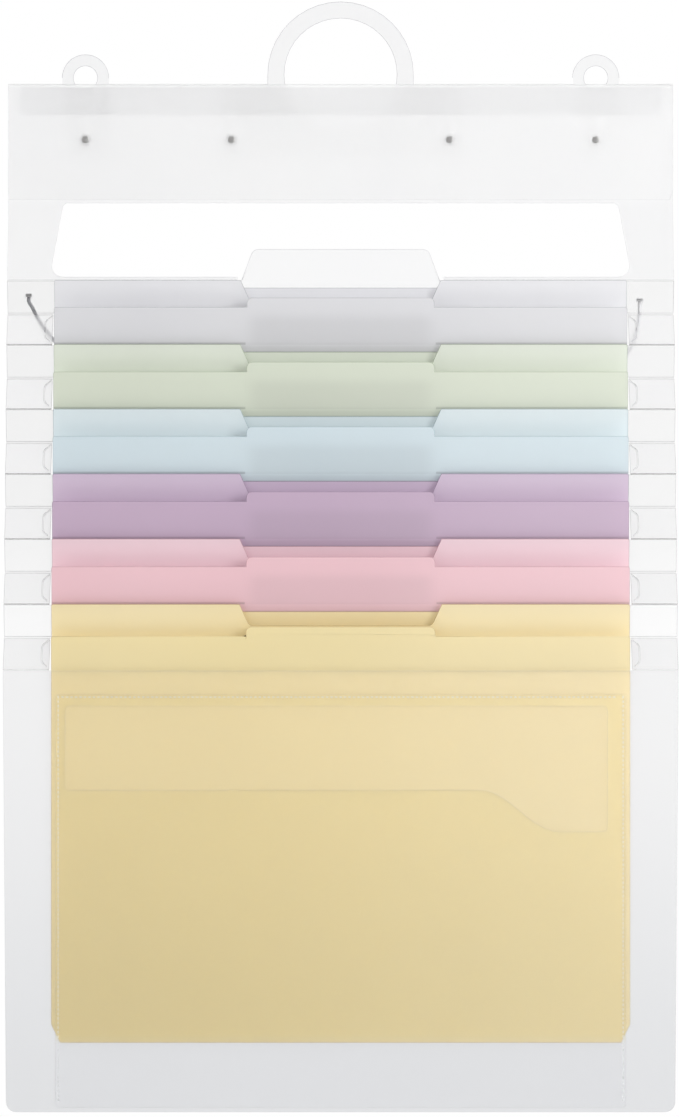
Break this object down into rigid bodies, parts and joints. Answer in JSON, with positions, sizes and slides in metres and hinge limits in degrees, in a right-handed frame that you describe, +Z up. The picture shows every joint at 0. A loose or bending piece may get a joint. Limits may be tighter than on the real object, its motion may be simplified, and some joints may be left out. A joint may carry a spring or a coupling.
{
  "type": "hanging document pocket",
  "caption": "Frosted wall file organizer on a ring handle: a pleated sheet steps down through coloured document pockets to a deep front cover.",
  "frame": {"origin": "where a hook bears on the underside of the ring's top, in the middle of the handle's thickness", "axes": "+Z up, the front faces -Y, +Y goes back to the wall, +X to the viewer's right"},
  "size_m": [0.362, 0.0638, 0.6001],
  "materials": {
    "frosted_polypropylene": "fine frosted, translucent",
    "gray_polypropylene": "translucent, satin",
    "green_polypropylene": "translucent, satin",
    "blue_polypropylene": "translucent, satin",
    "purple_polypropylene": "translucent, satin",
    "pink_polypropylene": "translucent, satin",
    "yellow_polypropylene": "translucent, satin",
    "gray_elastic": "braided elastic",
    "nickel_plated_steel": "bright nickel plate"
  },
  "bodies": {
    "hang_handle": {"hang_handle": "frosted_polypropylene"},
    "header": {"header_back": "frosted_polypropylene", "header_front_flap": "frosted_polypropylene", "header_stiffener": "frosted_polypropylene", "header_rivet_1": "nickel_plated_steel", "header_rivet_2": "nickel_plated_steel", "header_rivet_3": "nickel_plated_steel", "header_rivet_4": "nickel_plated_steel", "back_leaf_1": "frosted_polypropylene", "gray_pocket_front": "gray_polypropylene", "gray_pocket_back": "gray_polypropylene", "gray_pocket_gusset": "gray_polypropylene", "elastic_cord": "gray_elastic", "cord_crimp_left": "nickel_plated_steel", "cord_crimp_right": "nickel_plated_steel"},
    "left_hang_loop": {"left_hang_loop": "frosted_polypropylene"},
    "right_hang_loop": {"right_hang_loop": "frosted_polypropylene"},
    "pleat_1": {"left_pleat_1": "frosted_polypropylene", "right_pleat_1": "frosted_polypropylene"},
    "level_2": {"back_leaf_2": "frosted_polypropylene", "green_pocket_front": "green_polypropylene", "green_pocket_back": "green_polypropylene", "green_pocket_gusset": "green_polypropylene", "gray_front_strip": "gray_polypropylene"},
    "pleat_2": {"left_pleat_2": "frosted_polypropylene", "right_pleat_2": "frosted_polypropylene"},
    "level_3": {"back_leaf_3": "frosted_polypropylene", "blue_pocket_front": "blue_polypropylene", "blue_pocket_back": "blue_polypropylene", "blue_pocket_gusset": "blue_polypropylene", "green_front_strip": "green_polypropylene"},
    "pleat_3": {"left_pleat_3": "frosted_polypropylene", "right_pleat_3": "frosted_polypropylene"},
    "level_4": {"back_leaf_4": "frosted_polypropylene", "purple_pocket_front": "purple_polypropylene", "purple_pocket_back": "purple_polypropylene", "purple_pocket_gusset": "purple_polypropylene", "blue_front_strip": "blue_polypropylene"},
    "pleat_4": {"left_pleat_4": "frosted_polypropylene", "right_pleat_4": "frosted_polypropylene"},
    "level_5": {"back_leaf_5": "frosted_polypropylene", "pink_pocket_front": "pink_polypropylene", "pink_pocket_back": "pink_polypropylene", "pink_pocket_gusset": "pink_polypropylene", "purple_front_strip": "purple_polypropylene"},
    "pleat_5": {"left_pleat_5": "frosted_polypropylene", "right_pleat_5": "frosted_polypropylene"},
    "level_6": {"back_leaf_6": "frosted_polypropylene", "yellow_pocket_front": "yellow_polypropylene", "yellow_pocket_back": "yellow_polypropylene", "yellow_pocket_gusset": "yellow_polypropylene", "pink_front_strip": "pink_polypropylene"},
    "pleat_6": {"left_pleat_6": "frosted_polypropylene", "right_pleat_6": "frosted_polypropylene"},
    "front_panel": {"yellow_front_panel": "yellow_polypropylene"},
    "front_cover": {"front_cover": "frosted_polypropylene", "cover_inner_sheet": "frosted_polypropylene"}
  },
  "joints": [
    {"name": "header_slide", "type": "slide", "parent": "hang_handle", "child": "header", "axis": [0, 0, 1], "range_m": [0, 0.0245]},
    {"name": "left_loop_slide", "type": "slide", "parent": "header", "child": "left_hang_loop", "axis": [0, 0, -1], "range_m": [0, 0.016]},
    {"name": "right_loop_slide", "type": "slide", "parent": "header", "child": "right_hang_loop", "axis": [0, 0, -1], "range_m": [0, 0.016]},
    {"name": "pleat_1_swing", "type": "hinge", "parent": "header", "child": "pleat_1", "pos_m": [0, -0.007, -0.16141], "axis": [-1, 0, 0], "range_deg": [0, 85]},
    {"name": "fold_2_swing", "type": "hinge", "parent": "pleat_1", "child": "level_2", "pos_m": [0, -0.021, -0.1785], "axis": [-1, 0, 0], "range_deg": [-85, 0]},
    {"name": "pleat_2_swing", "type": "hinge", "parent": "level_2", "child": "pleat_2", "pos_m": [0, -0.015, -0.19651], "axis": [-1, 0, 0], "range_deg": [0, 85]},
    {"name": "fold_3_swing", "type": "hinge", "parent": "pleat_2", "child": "level_3", "pos_m": [0, -0.029, -0.2136], "axis": [-1, 0, 0], "range_deg": [-85, 0]},
    {"name": "pleat_3_swing", "type": "hinge", "parent": "level_3", "child": "pleat_3", "pos_m": [0, -0.023, -0.23161], "axis": [-1, 0, 0], "range_deg": [0, 85]},
    {"name": "fold_4_swing", "type": "hinge", "parent": "pleat_3", "child": "level_4", "pos_m": [0, -0.037, -0.2487], "axis": [-1, 0, 0], "range_deg": [-85, 0]},
    {"name": "pleat_4_swing", "type": "hinge", "parent": "level_4", "child": "pleat_4", "pos_m": [0, -0.031, -0.26671], "axis": [-1, 0, 0], "range_deg": [0, 85]},
    {"name": "fold_5_swing", "type": "hinge", "parent": "pleat_4", "child": "level_5", "pos_m": [0, -0.045, -0.2838], "axis": [-1, 0, 0], "range_deg": [-85, 0]},
    {"name": "pleat_5_swing", "type": "hinge", "parent": "level_5", "child": "pleat_5", "pos_m": [0, -0.039, -0.30181], "axis": [-1, 0, 0], "range_deg": [0, 85]},
    {"name": "fold_6_swing", "type": "hinge", "parent": "pleat_5", "child": "level_6", "pos_m": [0, -0.053, -0.3189], "axis": [-1, 0, 0], "range_deg": [-85, 0]},
    {"name": "pleat_6_swing", "type": "hinge", "parent": "level_6", "child": "pleat_6", "pos_m": [0, -0.047, -0.33691], "axis": [-1, 0, 0], "range_deg": [0, 85]},
    {"name": "fold_7_swing", "type": "hinge", "parent": "pleat_6", "child": "front_panel", "pos_m": [0, -0.061, -0.354], "axis": [-1, 0, 0], "range_deg": [-85, 0]},
    {"name": "front_cover_swing", "type": "hinge", "parent": "front_panel", "child": "front_cover", "pos_m": [0, -0.06137, -0.354], "axis": [-1, 0, 0], "range_deg": [0, 120]}
  ],
  "couplings": [
    {"joint": "fold_2_swing", "follows": "pleat_1_swing", "ratio": -1},
    {"joint": "fold_3_swing", "follows": "pleat_2_swing", "ratio": -1},
    {"joint": "fold_4_swing", "follows": "pleat_3_swing", "ratio": -1},
    {"joint": "fold_5_swing", "follows": "pleat_4_swing", "ratio": -1},
    {"joint": "fold_6_swing", "follows": "pleat_5_swing", "ratio": -1},
    {"joint": "fold_7_swing", "follows": "pleat_6_swing", "ratio": -1}
  ]
}
